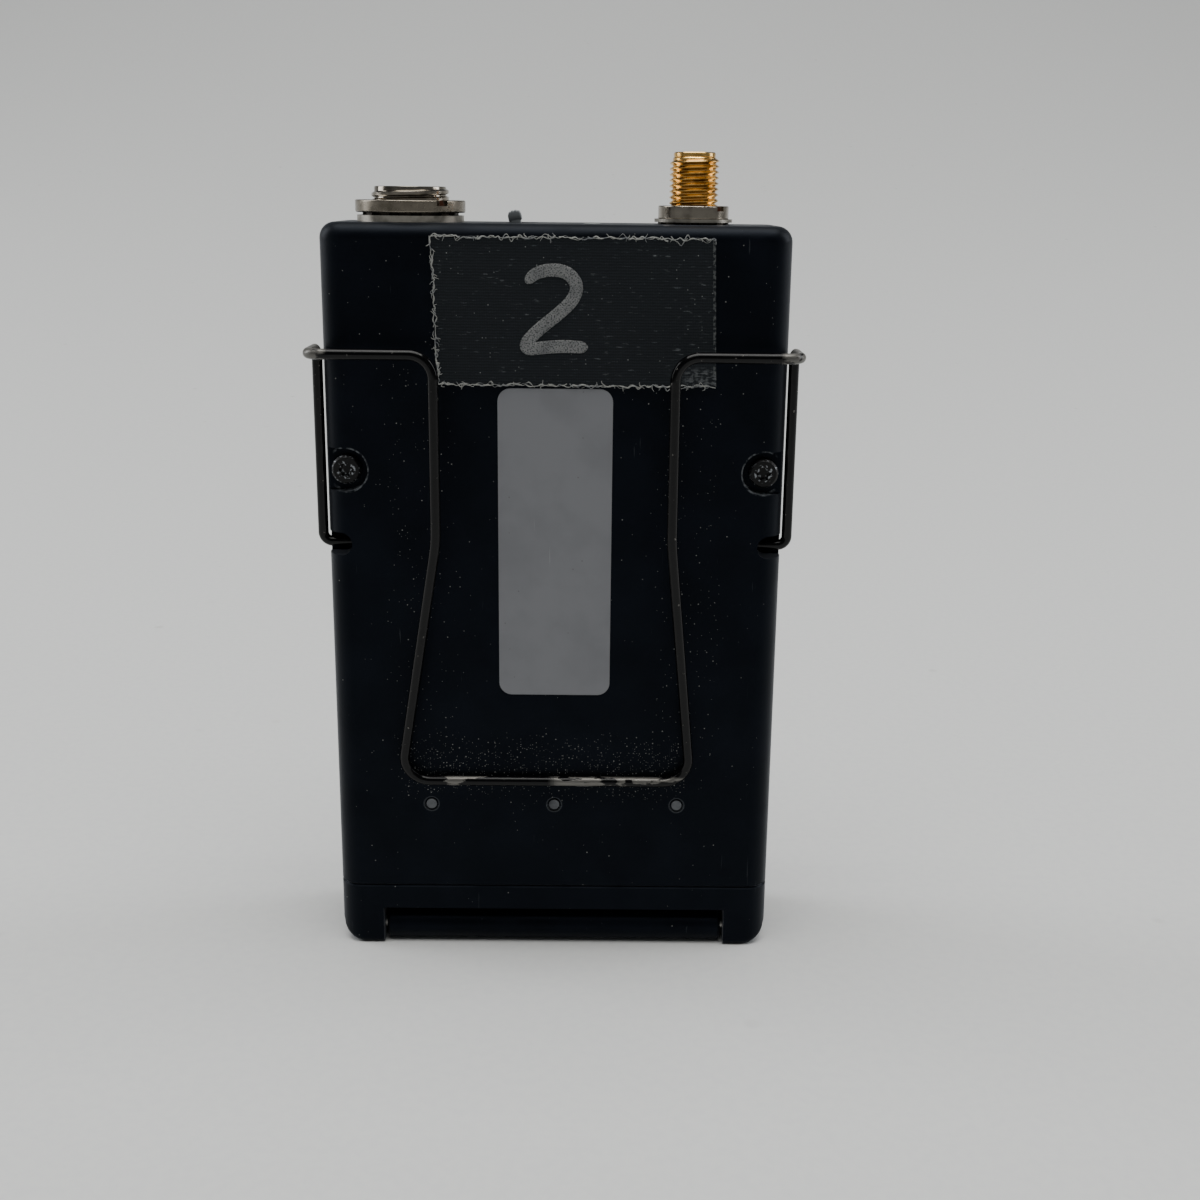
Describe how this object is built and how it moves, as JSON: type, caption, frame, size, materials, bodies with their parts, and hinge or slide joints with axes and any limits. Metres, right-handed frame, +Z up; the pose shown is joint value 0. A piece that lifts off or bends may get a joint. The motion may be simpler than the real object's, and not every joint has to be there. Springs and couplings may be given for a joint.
{
  "type": "wireless bodypack transmitter",
  "caption": "Slim belt-worn wireless microphone transmitter with a wire belt clip, threaded antenna jack, round microphone jack and a hinged battery door.",
  "frame": {"origin": "middle of the base, on the surface that the case stands on", "axes": "+Z up towards the two jacks, -Y the side with the belt clip, +Y the display side, +X to the antenna side"},
  "size_m": [0.0628, 0.0237, 0.108],
  "materials": {
    "cast_case": "satin black powder paint over a cast light alloy",
    "black_moulding": "fine-textured black moulding",
    "black_wire": "gloss black coating on spring wire, worn at the bends",
    "pin_steel": "plain turned steel",
    "screw_steel": "black oxide, worn bright round the socket",
    "cell_jacket": "plain lacquered cell jacket",
    "contact_nickel": "nickel-plated spring strip",
    "lead_cover": "insulated wire",
    "board_green": "solder-masked glass laminate",
    "shield_tin": "tin-plated sheet",
    "display_glass": "display glass in its backlight frame",
    "clear_window": "clear polished acrylic",
    "key_rubber": "dark grey keys",
    "dark_lens": "dark red infrared lens",
    "lamp_lens": "frosted light guide",
    "nickel": "bright nickel plate with a little corrosion",
    "gold": "gold plate",
    "insulator_black": "black insulator",
    "insulator_white": "white fluoropolymer",
    "label_silver": "bare matt silver label",
    "cloth_tape": "black woven cloth tape with a frayed edge"
  },
  "bodies": {
    "case": {"aa_cell_lower": "cell_jacket", "aa_cell_upper": "cell_jacket", "antenna_jack_contact": "gold", "antenna_jack_insulator": "insulator_white", "antenna_jack_shell": "gold", "antenna_lead": "lead_cover", "antenna_lock_washer": "nickel", "antenna_nut": "nickel", "antenna_washer": "nickel", "audio_shield": "shield_tin", "battery_leads": "lead_cover", "beam_emitter": "black_moulding", "beam_lens": "dark_lens", "board_screws": "pin_steel", "case_screws": "screw_steel", "cell_tray": "black_moulding", "channel_tape": "cloth_tape", "contact_bridge": "contact_nickel", "contact_negative": "contact_nickel", "contact_positive": "contact_nickel", "contact_spring_lower": "contact_nickel", "contact_spring_upper": "contact_nickel", "display_module": "display_glass", "display_window": "clear_window", "end_cap": "cast_case", "front_cover": "cast_case", "hinge_pin": "pin_steel", "key_switches": "black_moulding", "main_board": "board_green", "mic_jack_insulator": "insulator_black", "mic_jack_pins": "gold", "mic_jack_shell": "nickel", "mic_leads": "lead_cover", "mic_lock_washer": "nickel", "mic_ring_nut": "nickel", "mic_washer": "nickel", "power_lamp": "lamp_lens", "power_pivot": "pin_steel", "power_switch_body": "black_moulding", "radio_shield": "shield_tin", "rating_label": "label_silver", "rear_case": "cast_case", "tray_rivets": "pin_steel"},
    "clip": {"belt_clip": "black_wire"},
    "door": {"battery_door": "cast_case"},
    "latch": {"door_latch": "black_moulding"},
    "menu_key": {"menu_key": "key_rubber"},
    "enter_key": {"enter_key": "key_rubber"},
    "power_lever": {"power_lever": "black_moulding"}
  },
  "joints": [
    {"name": "clip_hinge", "type": "hinge", "parent": "case", "child": "clip", "pos_m": [0, -0.0063, 0.0578], "axis": [-1, 0, 0], "range_deg": [0, 9], "stiffness_Nm_per_rad": 0.4, "springref_deg": -11.46},
    {"name": "door_hinge", "type": "hinge", "parent": "case", "child": "door", "pos_m": [0, -0.0061, 0.0022], "axis": [-1, 0, 0], "range_deg": [0, 110]},
    {"name": "latch_slide", "type": "slide", "parent": "door", "child": "latch", "axis": [0, 0, 1], "range_m": [0, 0.0016]},
    {"name": "menu_key_press", "type": "slide", "parent": "case", "child": "menu_key", "axis": [0, -1, 0], "range_m": [0, 0.00035], "stiffness_N_per_m": 400, "springref_m": -0.0005},
    {"name": "enter_key_press", "type": "slide", "parent": "case", "child": "enter_key", "axis": [0, -1, 0], "range_m": [0, 0.00035], "stiffness_N_per_m": 400, "springref_m": -0.0005},
    {"name": "power_lever_swing", "type": "hinge", "parent": "case", "child": "power_lever", "pos_m": [-0.0046, 0, 0.095], "axis": [0, 1, 0], "range_deg": [0, 22]}
  ]
}
